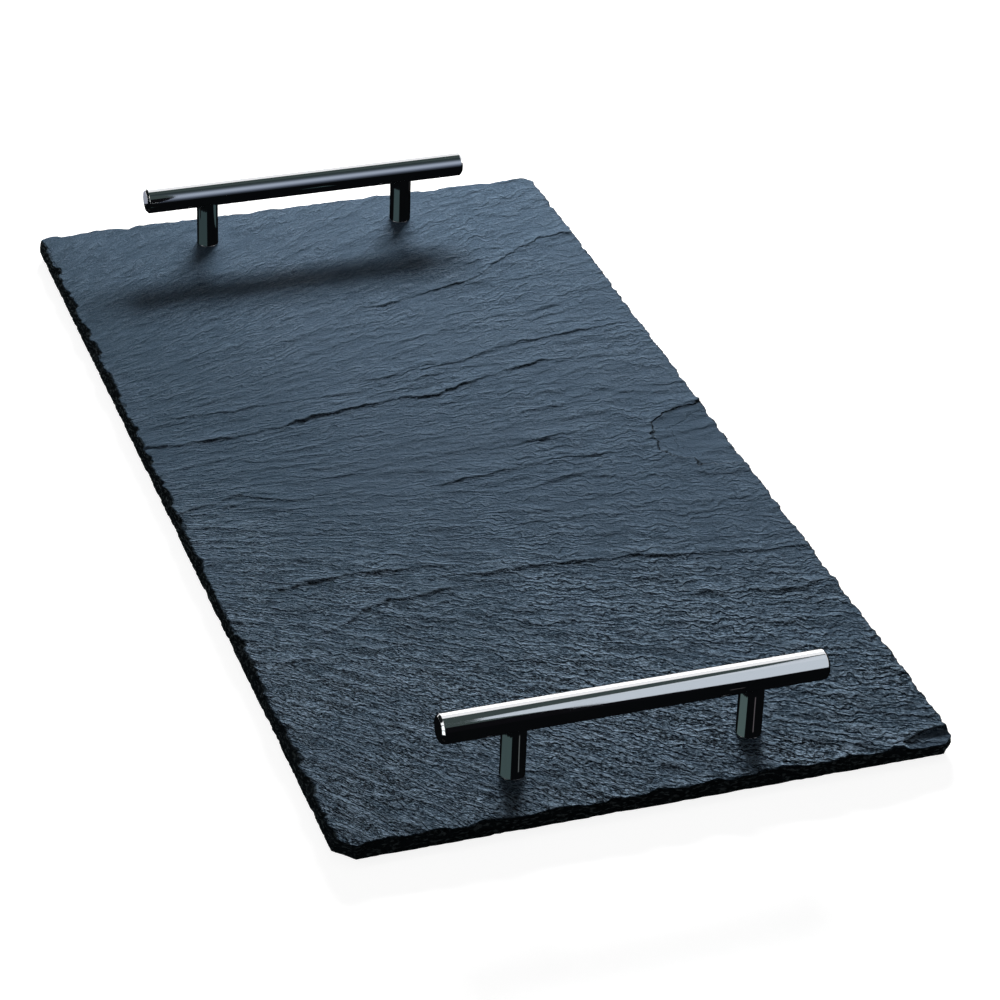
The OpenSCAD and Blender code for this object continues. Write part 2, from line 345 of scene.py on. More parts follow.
slateFinish = {
    # painted shade: the colour painted into grooves, hollows, ledge lines and the grain's pits
    "paintedShade": (0.0028, 0.0042, 0.0056, 1),
    "face": (0.0329, 0.056, 0.0819, 1),
    "bloom": (0.0616, 0.0924, 0.1316, 1),
    # painted highlight: the colour painted onto crests and the grain's raised specks
    "crest": (0.231, 0.315, 0.406, 1),
    "broken": (0.0098, 0.014, 0.0168, 1),
    "crushed": (0.072, 0.090, 0.096, 1),
    "flake": (0.0224, 0.035, 0.0476, 1),
    "roughness": (0.42, 0.55),
    "brokenRoughness": 0.7,
    "specular": 0.01,
    "tint": (0.30, 0.64, 1.0, 1),
    # pitch, run and height in metres of the two finest sets of split layers
    "coarseLayers": (0.0038, 0.011, 0.0020),
    "fineLayers": (0.0019, 0.006, 0.0011),
    # ridges in a metre along and across, detail and warp
    "wavyRidges": (200.0, 440.0, 5.0, 1.2),
    "mineralGrain": (800.0, 1500.0, 3.0, 0.6),
    "crumbs": (330.0, 330.0, 6.0, 0.6),
    # heights in metres
    "terraceHeight": 0.0012,
    "ridgeHeight": 0.001,
    "grainHeight": 0.00036,
    "rimHeight": 0.0008,
    "ledgeHeight": 0.0008,
    "crumbHeight": 0.0009,
}

# Each mask of the stone: the values where it starts and ends, and what it is there
slateMasks = {
    # along the board, in metres of y + x / 2: the front has its relief in full, and the
    # far end was split along smoother layers
    "calm": (-0.21, -0.03, 1.12, 0.17),
    "rough": (0.0, 1.0, 0.62, 1.0),
    # painted sheen: the smooth far end is painted paler, but less so at the left, where painted shade keeps
    # it darker
    "sheenAndScoops": (0.8, 0.17, 0.0, 0.8),
    "leftShade": (-0.12, -0.03, 0.2, 1.0),
    "whole": (-0.78, -0.68, 0.0, 1.0),
    # painted shade in hollows, along ledge lines and in the grain's pits, and a painted highlight on crests
    # and the grain's raised specks
    "hollowShade": (-0.5, 0.0, 1.0, 0.0),
    "ledgeShade": (0.2, 0.8, 0.85, 0.0),
    "layerCrestHighlight": (0.55, 1.3, 0.0, 0.85),
    "top": (0.1, 0.7, 0.0, 0.5),
    "speckHighlight": (0.50, 0.62, 0.0, 0.85),
    "pitShade": (0.48, 0.37, 0.0, 0.75),
}

# How the finest layers run: how far each noise bends their lines, in pitches, and the size
# of the smallest in metres; then the share of a layer that rises, and where its step lies
layerShape = {
    "bend": 3.4, "waver": 1.0, "jag": 0.9, "jagSize": 0.0034,
    "rise": 0.30, "stepMiddle": 0.14, "stepReach": 0.22, "present": (0.36, 0.54),
}
terraceRamp = 0.22


def makeLayerGroup():
    # thin split layers as a height from 0 to 1: the line number is bent by noise, its
    # whole part names a layer, and its fraction rises over a short step and falls slowly
    tree, entry, out = newGroup(
        "splitLayers", {"Pitch": 0.004, "Run": 0.015, "Shift": 0.0}, ["Height", "Step"]
    )
    calc = partial(calculate, tree)

    def noiseAt(x, y, shift, detail):
        z = calc("ADD", entry["Shift"], shift)
        place = addNode(tree, "ShaderNodeCombineXYZ", {"X": x, "Y": y, "Z": z}).outputs[0]
        return cloudsAt(tree, place, 1.0, detail)

    split = separated(tree, entry["Vector"])
    along = calc("DIVIDE", split["X"], entry["Run"])
    line = calc("DIVIDE", split["Y"], entry["Pitch"])
    jagX, jagY = (calc("DIVIDE", split[axis], layerShape["jagSize"]) for axis in "XY")
    waves = {
        "bend": noiseAt(along, calc("MULTIPLY", line, 0.45), 0.0, 1.0),
        "waver": noiseAt(calc("MULTIPLY", along, 5.0), line, 7.3, 2.0),
        "jag": noiseAt(jagX, jagY, 11.9, 2.0),
    }
    bent = line
    for key, wave in waves.items():
        bent = calc("ADD", bent, calc("MULTIPLY", wave, layerShape[key]))
    number, part = calc("FLOOR", bent), calc("FRACT", bent)
    rise = calc("DIVIDE", part, layerShape["rise"])
    fall = calc("DIVIDE", calc("SUBTRACT", 1.0, part), 1 - layerShape["rise"])
    tooth = calc("MINIMUM", rise, fall)
    presence = noiseAt(calc("MULTIPLY", along, 0.9), calc("MULTIPLY", number, 0.77), 3.1, 1.0)
    strength = ranged(tree, presence, *layerShape["present"], interpolation_type="SMOOTHSTEP")
    # the step is 1 in the middle of the short rise and gone a little beyond its ends
    far = calc("ABSOLUTE", calc("SUBTRACT", part, layerShape["stepMiddle"]))
    far = calc("MINIMUM", calc("DIVIDE", far, layerShape["stepReach"]), 1.0)
    connect(tree, out, {
        "Height": calc("MULTIPLY", tooth, strength),
        "Step": calc("MULTIPLY", calc("SUBTRACT", 1.0, far), strength),
    })
    return tree


def makeTerraceGroup():
    # flake edges as a height from 0 to 1: noise stretched along the grain and cut into
    # levels, each joined to the next by a short ramp
    tree, entry, out = newGroup(
        "flakeTerraces", {"Along": 45.0, "Across": 180.0, "Levels": 5.0}, ["Height"]
    )
    calc = partial(calculate, tree)
    shape = ridgesAt(tree, entry["Vector"], entry["Along"], entry["Across"], 4.0, 0.9)
    level = calc("MULTIPLY", shape, entry["Levels"])
    ramp = calc("MINIMUM", calc("DIVIDE", calc("FRACT", level), terraceRamp), 1.0)
    stepped = calc("DIVIDE", calc("ADD", calc("FLOOR", level), ramp), entry["Levels"])
    connect(tree, out, {"Height": stepped})
    return tree


def makeSlateMaterial():
    material, tree, shader = newMaterial("riven_slate")
    layerGroup = makeLayerGroup()
    terraceGroup = makeTerraceGroup()
    place = objectPlace(tree)
    split = separated(tree, place)
    grain = addNode(tree, "ShaderNodeUVMap", uv_map="grain").outputs["UV"]
    finish = slateFinish
    calc = partial(calculate, tree)
    scaled = partial(calculate, tree, "MULTIPLY")
    summed = partial(calculate, tree, "ADD")
    mixed = partial(mixColour, tree)

    def masked(key, value, **settings):
        return ranged(tree, value, *slateMasks[key], **settings)

    def clamped(value):
        return addNode(tree, "ShaderNodeClamp", {"Value": value}).outputs[0]

    # what the mesh says of each point
    crest, broken, scoop, ledge, ledgeShare, rim = (
        addNode(tree, "ShaderNodeAttribute", attribute_name=name).outputs["Fac"]
        for name in ("crest", "broken", "scoop", "ledge", "ledgeShare", "rim")
    )

    # relief too fine for the mesh: two sets of layers, wavy ridges and flake edges
    layers, steps = [], []
    faceHeight = scaled(ridgesAt(tree, grain, *finish["wavyRidges"]), finish["ridgeHeight"])
    for number, key in enumerate(("coarseLayers", "fineLayers")):
        pitch, run, height = finish[key]
        sheets = addNode(
            tree, "ShaderNodeGroup",
            {"Vector": grain, "Pitch": pitch, "Run": run, "Shift": 4.7 * number}, node_tree=layerGroup,
        ).outputs
        layers.append(sheets["Height"])
        steps.append(sheets["Step"])
        faceHeight = summed(faceHeight, scaled(sheets["Height"], height))
    terraces = addNode(tree, "ShaderNodeGroup", {"Vector": grain}, node_tree=terraceGroup).outputs[0]
    faceHeight = summed(faceHeight, scaled(terraces, finish["terraceHeight"]))
    # how much of it shows: less at the far end and in the scoops; the far end gets a painted sheen, less at
    # the left, and the scoops are paler too
    calm = masked("calm", summed(split["Y"], scaled(split["X"], 0.5)))
    rough = masked("rough", patchesAt(tree, place, 20.0, 0.40, 0.58))
    sheenAndScoops = scaled(masked("sheenAndScoops", calm), masked("leftShade", split["X"]))
    sheenAndScoops = calc("MAXIMUM", sheenAndScoops, scaled(scoop, 0.7))
    calm = scaled(scaled(rough, calm), summed(scaled(scoop, -0.6), 1.0))
    faceHeight = scaled(faceHeight, calm)
    # each ledge: a short step up at its line, then a slow fall behind it
    torn = cloudsAt(tree, place, 420.0, 3.0)
    behind = summed(ledge, summed(scaled(torn, 2.4), -1.2))
    stepUp = scaled(summed(behind, 0.5), 1.25)
    fallBack = summed(scaled(behind, -0.14), 1.03)
    stepShape = clamped(calc("MINIMUM", stepUp, fallBack))
    faceHeight = summed(faceHeight, scaled(scaled(stepShape, ledgeShare), finish["ledgeHeight"]))
    # small flakes broken off along the edges of the top: 1 on the whole face, 0 on a flake
    ragged = cloudsAt(tree, place, 110.0, 5.0, 0.6)
    whole = masked("whole", summed(rim, scaled(ragged, -2.2)), interpolation_type="SMOOTHSTEP")
    faceHeight = summed(faceHeight, scaled(whole, finish["rimHeight"]))
    # the broken edge is crumbly, and mineral grain covers everything
    crumbPlace = stretched(tree, place, (1.0, 1.0, 3.0))
    crumb = scaled(ridgesAt(tree, crumbPlace, *finish["crumbs"]), finish["crumbHeight"])
    grit = ridgesAt(tree, grain, *finish["mineralGrain"])
    height = mixNumber(tree, broken, faceHeight, crumb)
    height = summed(height, scaled(grit, finish["grainHeight"]))

    # colour: soft bloom and the painted sheen, painted shade in grooves, hollows and along ledge lines, and a
    # painted highlight on crests
    bloom = patchesAt(tree, place, 16.0)
    # here the bloom colour carries the soft bloom patches and the painted sheen of the far end
    face = mixed(calc("MAXIMUM", scaled(bloom, 0.6), sheenAndScoops), finish["face"], finish["bloom"])
    # painted shade in the layers' short steps and in hollows
    grooveShade = calc("MAXIMUM", summed(steps[0], scaled(steps[1], 0.7)), masked("hollowShade", crest))
    grooveShade = calc("MINIMUM", grooveShade, 0.75)
    face = mixed(scaled(grooveShade, calm), face, finish["paintedShade"])
    # painted shadow along each ledge line
    ledgeShade = masked("ledgeShade", calc("ABSOLUTE", summed(behind, 0.2)))
    face = mixed(clamped(scaled(ledgeShade, ledgeShare)), face, finish["paintedShade"])
    # painted highlight on the layers' crests and on raised points
    layerCrestHighlight = masked("layerCrestHighlight", summed(layers[0], scaled(layers[1], 0.5)))
    top = calc("MAXIMUM", masked("top", crest), layerCrestHighlight)
    face = mixed(scaled(top, calm), face, finish["crest"])
    # mineral grain: a painted highlight on its raised specks and painted shade in its pits
    face = mixed(scaled(masked("speckHighlight", grit), calm), face, finish["crest"])
    face = mixed(scaled(masked("pitShade", grit), calm), face, finish["paintedShade"])
    # the broken edge and the flaked rim show crushed stone in spots
    crushed = patchesAt(tree, crumbPlace, 420.0, 0.50, 0.66)
    edge = mixed(crushed, finish["broken"], finish["crushed"])
    flake = mixed(crushed, finish["flake"], finish["bloom"])
    face = mixed(whole, flake, face)

    # roughness: uneven over the split face, dull on the broken edge
    gloss = ranged(tree, bloom, 0.0, 1.0, *finish["roughness"])
    connect(tree, shader, {
        "Base Color": mixed(broken, face, edge),
        "Roughness": mixNumber(tree, broken, gloss, finish["brokenRoughness"]),
        "Specular IOR Level": finish["specular"],
        "Specular Tint": finish["tint"],
        "Normal": bumped(tree, height),
    })
    return material


# Slate shape, in millimetres

slate = {
    "columns": 130,
    "rows": 600,
    "coarse": 5,
    "edgeRings": 9,
    "cuts": {"frontLeft": 8, "frontRight": 6, "rearRight": 5, "rearLeft": 4},
    "cornerReach": 4,
    "dressingBlend": 12,
    "seatRadius": 6.0,
    "seatFade": 9.0,
    "swell": 0.35,
    "lowest": -0.6,
    "underInset": 7.0,
    "underRelief": 0.5,
    "underSeat": 9.0,
    "underFade": 12,
    # pitch across the grain, run along it and height of each set of split layers
    "layers": [(19.0, 70.0, 0.30), (9.0, 34.0, 0.36), (4.8, 17.0, 0.30)],
}
recess = {"clear": 1, "holeRadius": 2.25, "beyond": 1, "around": 64}

# How each side was dressed: lean of the top inwards, depth and length of its flakes,
# and depth of its small chips
dressing = {
    "front": (0.5, 2.2, 13.0, 0.8),
    "right": (0.7, 1.0, 9.0, 0.6),
    "rear": (0.7, 1.4, 12.0, 0.7),
    "left": (1.2, 2.4, 13.0, 1.1),
}

# Width of the band along each side of the top where small flakes are missing
rimWidths = {"front": 2.6, "right": 2.4, "rear": 2.6, "left": 5.0}

# Ledges: height, then points along the line where a layer breaks off, from left to right
ledges = [
    (0.75, [(16, 142), (29, 146), (44, 150), (60, 154), (68, 159), (80, 169), (93, 178), (106, 185),
            (118, 187)]),
    (0.55, [(-8, 76), (13, 79), (34, 82), (49, 88), (62, 91), (75, 92), (93, 95), (112, 97)]),
    (0.55, [(-101, 67), (-80, 66), (-54, 68), (-21, 66), (-8, 70), (13, 72)]),
    (0.85, [(-122, 46), (-93, 44), (-70, 46), (-46, 51), (-28, 54), (-8, 57), (13, 56), (29, 62),
            (47, 68), (65, 72)]),
    (0.45, [(23, 5), (44, 7), (65, 7)]),
    (0.60, [(-122, -10), (-103, -6), (-93, -2), (-89, -7), (-72, -13), (-57, -12)]),
    (0.60, [(-5, -17), (13, -15), (26, -13), (44, -10), (65, -12)]),
    (0.90, [(-94, -76), (-60, -75), (-42, -76), (-30, -79), (-25, -84), (-22, -88), (3, -89),
            (34, -90), (55, -94), (75, -98), (101, -102), (119, -105)]),
    (0.80, [(-87, -112), (-80, -109), (-72, -103), (-62, -98), (-56, -96), (-47, -98), (-34, -95)]),
    (0.50, [(-44, -115), (-37, -112), (-30, -115), (-21, -117), (-18, -119)]),
    (0.60, [(-107, -128), (-95, -128), (-87, -125), (-74, -129)]),
    (0.40, [(-59, -116), (-42, -122), (-21, -125), (0, -131)]),
    (0.60, [(70, -127), (86, -130), (101, -135), (119, -133)]),
    (0.40, [(-39, -153), (-27, -154), (-11, -155), (0, -160)]),
]
ledgeShape = {"lift": 0.9, "behind": 12.0, "riser": 0.6, "fade": 12.0, "wander": 1.6, "wanderRun": 8.0}
farFromLedge = 9.0

# Shell-shaped scoops at the right-hand edge: centre, radii and depth
scoops = [
    ((125, -8), (33, 27), 0.9),
    ((122, -252), (21, 13), 1.9),
]

# The grain's fan: the y of its level line, how far its lines keep their spacing, and its
# slope at the middle, which falls off to the right
fan = {"level": 20, "spread": 250, "slope": 0.43, "fallOff": 0.125}


def grainLine(x, y):
    # the grain's lines run level near the middle and fan up and down away from it: lines
    # of equal (y - y0) exp(-(slope X - fallOff X^2)), X being x in half widths, spaced out
    # evenly by an inverse hyperbolic sine
    share = 2 * x / slateWidth
    narrowing = np.exp(-(fan["slope"] * share - fan["fallOff"] * share ** 2))
    return fan["spread"] * np.arcsinh((y - fan["level"]) * narrowing / fan["spread"])


def grainRun(x, y):
    # the way along a grain line: x + (y - y0)^2 / 4 times the fan's slope per unit of y - y0
    slope = fan["slope"] - 4 * fan["fallOff"] * x / slateWidth
    return x + (y - fan["level"]) ** 2 / 4 * slope * 2 / slateWidth


def splitLayers(x, y, pitch, run, height, seed):
    # overlapping thin layers, each rising in a short step and falling away slowly:
    # a saw tooth of the warped line number, strong on some stretches and gone on others
    line, way = grainLine(x, y), grainRun(x, y)
    bend, waver, step = 0.9, 0.25, 0.10
    warped = line / pitch + bend * noise(seed, way / run, line / (2.2 * pitch))
    warped = warped + waver * noise(seed + 1, 4 * way / run, line / pitch)
    number = np.floor(warped)
    part = warped - number
    tooth = np.minimum(part / step, (1 - part) / (1 - step))
    strength = ease(0.55 + 1.1 * noise(seed + 2, way / run, number * 0.73))
    return height * tooth * strength


def ledgeParts(x, y):
    # for each ledge: the distance behind its ragged line, and its height there, which
    # comes and goes along the line and fades out at both ends
    for k, (height, line) in enumerate(ledges):
        lineX, lineY = np.array(line, float).T
        wander = layeredNoise(300 + k, x / ledgeShape["wanderRun"], 0 * x + 0.37 * k, 3)
        behind = y - np.interp(x, lineX, lineY) - ledgeShape["wander"] * wander
        near = ease(np.minimum(x - lineX[0], lineX[-1] - x) / ledgeShape["fade"] + 1)
        present = 0.3 + 0.7 * ease(0.5 + 0.9 * noise(340 + k, x / 20, 0 * x + 0.9 * k))
        yield behind, height * near * present


def ledgeRelief(x, y):
    # each ledge: the layer swells slowly behind its line and breaks off short before it
    total = np.zeros_like(x)
    for behind, height in ledgeParts(x, y):
        rise = np.where(behind > 0, np.exp(-behind / ledgeShape["behind"]), 1 + behind / ledgeShape["riser"])
        total = total + ledgeShape["lift"] * height * np.clip(rise, 0, 1)
    return total


def scoopPlace(x, y, centre, radii):
    # squared distance from the scoop's centre in radii, with a wavy rim
    q = ((x - centre[0]) / radii[0]) ** 2 + ((y - centre[1]) / radii[1]) ** 2
    return q * (1 + 0.25 * layeredNoise(360, x / 11, y / 11, 3))


def scoopRelief(x, y):
    # a shallow dish with a sharp rim, (1 - q) to the power 0.3, where q is the squared
    # distance in radii
    total = np.zeros_like(x)
    for centre, radii, depth in scoops:
        total = total + depth * np.clip(1 - scoopPlace(x, y, centre, radii), 0, 1) ** 0.3
    return total


def ledgeLine(x, y):
    # distance behind the nearest ledge or scoop rim, and how strong it is there
    nearest = np.full_like(x, farFromLedge)
    share = np.zeros_like(x)
    # a rim's distance is 15 ln q, near enough beside the rim
    rims = [(15 * np.log(scoopPlace(x, y, *scoop[:2]) + 0.001), 1.1 + 0 * x) for scoop in scoops]
    for behind, height in [*ledgeParts(x, y), *rims]:
        closer = (np.abs(behind) < np.abs(nearest)) & (height > 0)
        nearest = np.where(closer, behind, nearest)
        share = np.where(closer, height, share)
    return nearest, share


def topRelief(x, y):
    # height of the split face above the seats, level under the posts
    away = np.hypot(np.abs(x) - postX, np.abs(y) - postY)
    offSeat = ease((away - slate["seatRadius"]) / slate["seatFade"])
    relief = slate["swell"] * noise(11, x / 95, y / 70)
    for k, (pitch, run, height) in enumerate(slate["layers"]):
        relief = relief + splitLayers(x, y, pitch, run, height, 20 + 5 * k)
    relief = relief + 0.05 * layeredNoise(60, x / 5, y / 3, 3) + ledgeRelief(x, y)
    return offSeat * (relief + slate["lowest"]) - scoopRelief(x, y)


def edgeSide(start, along, inward, length, count, cutStart, cutEnd, run):
    # one side of the outline: places, the way in from them, the run along the edge and the
    # distance to the nearest corner; a cut draws the points in along the broken corner
    d = length * np.arange(count) / count
    inStart = np.maximum(0, cutStart - d) / 2
    inEnd = np.maximum(0, cutEnd - (length - d)) / 2
    start, along, inward = (np.array(v, float) for v in (start, along, inward))
    place = start + np.outer(d + inStart - inEnd, along) + np.outer(inStart + inEnd, inward)
    # near a corner the way in leans halfway towards the next side's
    leanStart, leanEnd = (ease(1 - far / slate["cornerReach"])[:, None] for far in (d, length - d))
    wayIn = np.tile(inward, (count, 1)) + leanStart * 0.5 * along - leanEnd * 0.5 * along
    wayIn = wayIn / np.linalg.norm(wayIn, axis=1)[:, None]
    return place, wayIn, run + d, np.minimum(d, length - d)


def edgeRings():
    # rings of points from the top edge down to the underside
    w, l = slateWidth / 2, slateLength / 2
    cuts = slate["cuts"]
    nu, nv = slate["columns"], slate["rows"]
    parts = [
        edgeSide((-w, -l), (1, 0), (0, 1), 2 * w, nu, cuts["frontLeft"], cuts["frontRight"], 0),
        edgeSide((w, -l), (0, 1), (-1, 0), 2 * l, nv, cuts["frontRight"], cuts["rearRight"], 2 * w),
        edgeSide((w, l), (-1, 0), (0, -1), 2 * w, nu, cuts["rearRight"], cuts["rearLeft"], 2 * w + 2 * l),
        edgeSide((-w, l), (0, -1), (1, 0), 2 * l, nv, cuts["rearLeft"], cuts["frontLeft"], 4 * w + 2 * l),
    ]
    place, wayIn, run, corner = (np.concatenate(column) for column in zip(*parts))
    # the sides' dressing values, blended over the corners, but not the length of the flakes
    dressed = np.repeat([dressing[side] for side in ("front", "right", "rear", "left")], [nu, nv] * 2, axis=0)
    flakeRun = dressed[:, 2]
    lean, flakeDepth, _, chipDepth = runningMean(dressed, slate["dressingBlend"], 0, "wrap").T
    flake = flakeDepth * np.sqrt(np.clip(1.3 * layeredNoise(70, run / flakeRun, 0 * run + 3.3, 3), 0, 1))
    flake = flake * ease(corner / 14)
    reach = 0.35 + 0.6 * ease(0.5 + 0.9 * noise(76, run / 21, 0 * run))
    rings = []
    for down in np.arange(slate["edgeRings"] + 1) / slate["edgeRings"]:
        # a flake is a shallow shell that ends part of the way down the edge
        shell = flake * np.clip(1 - down / reach, 0, 1) ** 1.3
        rough = layeredNoise(80, run / 4.5, 0 * run + down * 2.6, 4, 0.62)
        chips = chipDepth * np.clip(rough + 0.2, 0, 1) * (0.5 + 0.5 * (1 - down))
        crumbs = 0.35 * np.clip(layeredNoise(95, run / 1.9, 0 * run + down * 5, 2), 0, 1)
        under = 0.5 * ease((down - 0.85) / 0.15)
        inset = lean * (1 - down) + shell + chips + crumbs + under
        rings.append(place + wayIn * inset[:, None])
    return np.array(rings), run


def topSheet(top):
    # a sheet stretched between its four edges: two ruled sheets less a bilinear one
    nu, nv = slate["columns"], slate["rows"]
    u = np.linspace(0, 1, nu + 1)[None, :, None]
    v = np.linspace(0, 1, nv + 1)[:, None, None]
    front, right = top[:nu + 1], top[nu:nu + nv + 1]
    rear = top[nu + nv:2 * nu + nv + 1][::-1]
    left = np.vstack([top[2 * nu + nv:], top[:1]])[::-1]
    sheet = (1 - v) * front[None] + v * rear[None] + (1 - u) * left[:, None] + u * right[:, None]
    corners = (1 - v) * ((1 - u) * front[0] + u * front[-1]) + v * ((1 - u) * rear[0] + u * rear[-1])
    return sheet - corners


def underSheet():
    # the lower face is split too, with low relief that fades out over the feet and seats
    # and along its border
    cu, cv = slate["columns"] // slate["coarse"], slate["rows"] // slate["coarse"]
    halfX, halfY = slateWidth / 2 - slate["underInset"], slateLength / 2 - slate["underInset"]
    x, y = np.meshgrid(np.linspace(-halfX, halfX, cu + 1), np.linspace(-halfY, halfY, cv + 1))
    waves = layeredNoise(110, x / 40, grainLine(x, y) / 14, 3)
    relief = slate["underRelief"] * np.clip(0.35 + waves, 0, 1)
    for seat in (middleOf(*boxInMm("front_right_foot")), (postX, postY)):
        away = np.hypot(np.abs(x) - abs(seat[0]), np.abs(y) - abs(seat[1]))
        relief = relief * ease((away - slate["underSeat"]) / slate["underFade"])
    border = np.minimum(halfX - np.abs(x), halfY - np.abs(y))
    relief = relief * ease(border / slate["underFade"])
    return np.stack([x, y, underZ + relief], axis=-1)


def fansBetween(outer, inner, coarse):
    # triangles from a fine ring to a coarse one: each coarse point takes the fine edges
    # near it, and one more triangle crosses to the next coarse point
    middle = coarse // 2
    fans = []
    for k in range(coarse):
        pivot = inner if k <= middle else np.roll(inner, -1)
        fans.append(np.stack([outer[k::coarse], np.roll(outer, -1)[k::coarse], pivot], axis=-1))
    fans.append(np.stack([inner, outer[middle + 1::coarse], np.roll(inner, -1)], axis=-1))
    return np.concatenate(fans)


def makeSlate(material):
    rings, run = edgeRings()
    sheet = topSheet(rings[0])
    x, y = sheet[..., 0], sheet[..., 1]
    sheetZ = seatZ + topRelief(x, y)
    topPoints = np.concatenate([sheet, sheetZ[..., None]], axis=-1).reshape(-1, 3)
    topNumbers = gridNumbers(0, *sheetZ.shape)
    loop = borderOf(topNumbers)

    # the rings below share the top's edge and end level at the underside
    arrisZ = topPoints[loop, 2]
    down = np.arange(1, slate["edgeRings"] + 1)[:, None] / slate["edgeRings"]
    ringZ = arrisZ + (underZ - arrisZ) * down ** 0.9
    waver = 0.25 * layeredNoise(90, run[None] / 4 + 0 * down, down * 3, 3) * np.sin(np.pi * down)
    ringPoints = np.concatenate([rings[1:], (ringZ + waver)[..., None]], axis=-1).reshape(-1, 3)
    ringStart = len(topPoints)
    ringNumbers = gridNumbers(ringStart, slate["edgeRings"], len(run))
    edgeFaces = quadsOf(np.vstack([loop, ringNumbers]), wrapColumns=True)

    # the underside is a coarser sheet inside its last ring, joined to it by fans
    under = underSheet()
    underStart = ringStart + ringNumbers.size
    underNumbers = gridNumbers(underStart, *under.shape[:2])
    fans = fansBetween(ringNumbers[-1], borderOf(underNumbers), slate["coarse"])

    faces = quadsOf(topNumbers).tolist() + edgeFaces.tolist() + quadsOf(underNumbers).tolist()
    points = np.vstack([topPoints, ringPoints, under.reshape(-1, 3)])
    piece = pieceFromArrays("riven_slate", points, faces + fans.tolist(), material, 50)

    def onTop(values, elsewhere=0.0):
        # a value for each point of the split face, and one for all others
        filled = np.full(len(points), elsewhere)
        filled[:sheetZ.size] = values.ravel()
        return filled

    # crest: how far a point stands above its neighbourhood, for painted shade and highlight; broken: 1 on the
    # dressed edge
    smooth = runningMean(runningMean(sheetZ, 5, 0, "edge"), 3, 1, "edge")
    broken = onTop(0 * x)
    broken[ringStart:underStart] = 1
    broken[loop] = 0.6
    # rim: distance from the nearest side, in widths of the band where that side has flakes
    rims = [
        (x + slateWidth / 2) / rimWidths["left"], (slateWidth / 2 - x) / rimWidths["right"],
        (y + slateLength / 2) / rimWidths["front"], (slateLength / 2 - y) / rimWidths["rear"],
    ]
    insides = [np.clip(3 - 3 * scoopPlace(x, y, *scoop[:2]), 0, 1) for scoop in scoops]
    nearest, share = ledgeLine(x, y)
    values = {
        "crest": onTop((sheetZ - smooth) / 0.25),
        "broken": broken,
        "rim": onTop(np.clip(np.min(rims, axis=0), 0, 4)),
        "ledge": onTop(nearest, farFromLedge),
        "ledgeShare": onTop(share),
        "scoop": onTop(np.max(insides, axis=0)),
    }
    mesh = piece.data
    for name, numbers in values.items():
        mesh.attributes.new(name, "FLOAT", "POINT").data.foreach_set("value", numbers)

    # the grain map: along the grain's own lines, and across them
    corner = np.zeros(len(mesh.loops), int)
    mesh.loops.foreach_get("vertex_index", corner)
    x, y, z = points.T
    lines = np.stack([grainRun(x, y), grainLine(x, y) + z], axis=-1)
    mesh.uv_layers.new(name="grain").uv.foreach_set("vector", (lines[corner] * mm).ravel())
    return piece


def cutRecesses(piece, material):
    # stepped holes from below: a wide recess for the washer and a clear hole for the screw
    washerLow, washerHigh = boxInMm("front_left_washer")
    recessRadius = (washerHigh[0] - washerLow[0]) / 2 + recess["clear"]
    recessTop = washerHigh[2]
    radius = np.array([recessRadius, recessRadius, recess["holeRadius"], recess["holeRadius"]])
    height = np.array([underZ - recess["beyond"], recessTop, recessTop, seatZ + recess["beyond"]])
    rows = revolve(radius, height, recess["around"])
    cutters = []
    for end in ends.values():
        for side in sides.values():
            offset = np.array([side * postX, end * postY, 0])
            cutters.append(turnedSkin("recess_cutter", rows + offset, material))
    for cutter in cutters:
        cut = piece.modifiers.new("recess", "BOOLEAN")
        cut.object = cutter
        cut.solver = "EXACT"
    bpy.context.view_layer.update()
    finished = bpy.data.meshes.new_from_object(
        piece.evaluated_get(bpy.context.evaluated_depsgraph_get())
    )
    piece.modifiers.clear()
    piece.data = finished
    for cutter in cutters:
        bpy.data.objects.remove(cutter)


slateMaterial = makeSlateMaterial()
slatePiece = makeSlate(slateMaterial)
cutRecesses(slatePiece, slateMaterial)
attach(slatePiece, "root")
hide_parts("slate")
# in the photograph the chrome shows the stone as black, because the stone shines away from it
slatePiece.visible_glossy = False
print("slate made:", len(slatePiece.data.polygons), "faces")


# Handles: polished chrome bars on coped posts

chromeFinish = {
    "colour": (0.80, 0.81, 0.83, 1),
    "roughness": (0.035, 0.075),
    # patches of haze in a metre, and the noise where they start and are full
    "haze": (60.0, 0.45, 0.75),
    # ripples in a metre along and across, and their depth in metres
    "marks": (60.0, 300.0),
    "markDepth": 0.000004,
}
bar = {"chamfer": 1.1, "rounding": 0.22, "around": 192, "spacing": 4.0, "centre": 0.4}
post = {
    "chamfer": 0.4, "rounding": 0.12, "around": 144, "bore": 2.02, "saddleClear": 0.02,
    "footHeight": 2, "wallRings": 12, "rimInset": 0.15, "rimRings": 5,
}


def makeBar(end, material):
    # the profile runs from one end face over its chamfer and along the rod to the other
    length, chamfer, centre = barHigh[0] - barLow[0], bar["chamfer"], bar["centre"]
    profile = softProfile(
        [
            (centre, 0), (barRadius - chamfer, 0), (barRadius, chamfer),
            (barRadius, length - chamfer), (barRadius - chamfer, length), (centre, length),
        ],
        bar["rounding"],
    )
    between = np.arange(2 * chamfer, length - 2 * chamfer, bar["spacing"])
    middle = np.stack([np.full(len(between), barRadius), between], axis=-1)
    half = len(profile) // 2
    profile = np.vstack([profile[:half], middle, profile[half:]])
    rings = revolve(profile[:, 0], profile[:, 1], bar["around"])
    # turned to lie along X, at its height over the posts
    rings = rings[..., [2, 0, 1]] + np.array([barLow[0], end * postY, barAxisZ])
    return turnedSkin("handle_bar", rings, material, smoothAngle=30)


